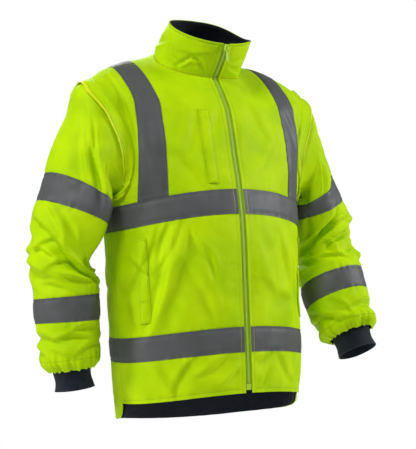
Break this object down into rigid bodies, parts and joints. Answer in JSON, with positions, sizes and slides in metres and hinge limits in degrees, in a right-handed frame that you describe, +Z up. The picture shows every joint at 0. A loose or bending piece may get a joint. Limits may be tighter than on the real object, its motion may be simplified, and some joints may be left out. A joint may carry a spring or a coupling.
{
  "type": "hi-vis work jacket",
  "caption": "Padded hi-vis work jacket in its hollow worn form, with a stand collar, full front zip, sleeves under cap flaps, knitted cuffs, a dropped back and grey reflective tape.",
  "frame": {"origin": "between the shoulders at the height of the neck, where the wearer holds the jacket up", "axes": "+Z up, the front faces -Y, the wearer's left is +X"},
  "size_m": [0.7683, 0.3136, 0.8229],
  "materials": {
    "shell": "fluorescent yellow-green coated weave, soft sheen",
    "reflective_tape": "grey retroreflective tape, satin",
    "lining": "navy woven lining, matt",
    "knit": "navy rib knit, matt",
    "zip": "yellow-green moulded zip and tape"
  },
  "bodies": {
    "jacket": {"front_right": "shell", "tape_hem_right": "reflective_tape", "tape_chest_right": "reflective_tape", "front_left": "shell", "tape_hem_left": "reflective_tape", "tape_chest_left": "reflective_tape", "back": "shell", "lining_back": "lining", "tape_hem_back": "reflective_tape", "tape_chest_back": "reflective_tape", "tape_brace_front_right": "reflective_tape", "tape_brace_front_left": "reflective_tape", "tape_brace_back_right": "reflective_tape", "tape_brace_back_left": "reflective_tape", "collar": "shell", "collar_lining": "lining", "armhole_flap_right": "shell", "armhole_flap_left": "shell", "sleeve_top_right": "shell", "sleeve_middle_right": "shell", "sleeve_low_right": "shell", "tape_sleeve_upper_right": "reflective_tape", "tape_sleeve_lower_right": "reflective_tape", "sleeve_top_left": "shell", "sleeve_middle_left": "shell", "sleeve_low_left": "shell", "tape_sleeve_upper_left": "reflective_tape", "tape_sleeve_lower_left": "reflective_tape", "cuff_right": "knit", "cuff_left": "knit", "hand_pocket_welt_right": "shell", "hand_pocket_welt_left": "shell", "chest_pocket_welt": "shell", "zip_tape_right": "zip", "zip_tape_left": "zip", "zip_coil": "zip", "zip_slider": "zip", "zip_bridge": "zip", "zip_bottom_box": "zip"},
    "zip_pull": {"zip_pull": "zip"}
  },
  "joints": [
    {"name": "pull_swing", "type": "hinge", "parent": "jacket", "child": "zip_pull", "pos_m": [0, -0.08554, 0.02347], "axis": [-1, 0, 0], "range_deg": [-18, 150]}
  ]
}
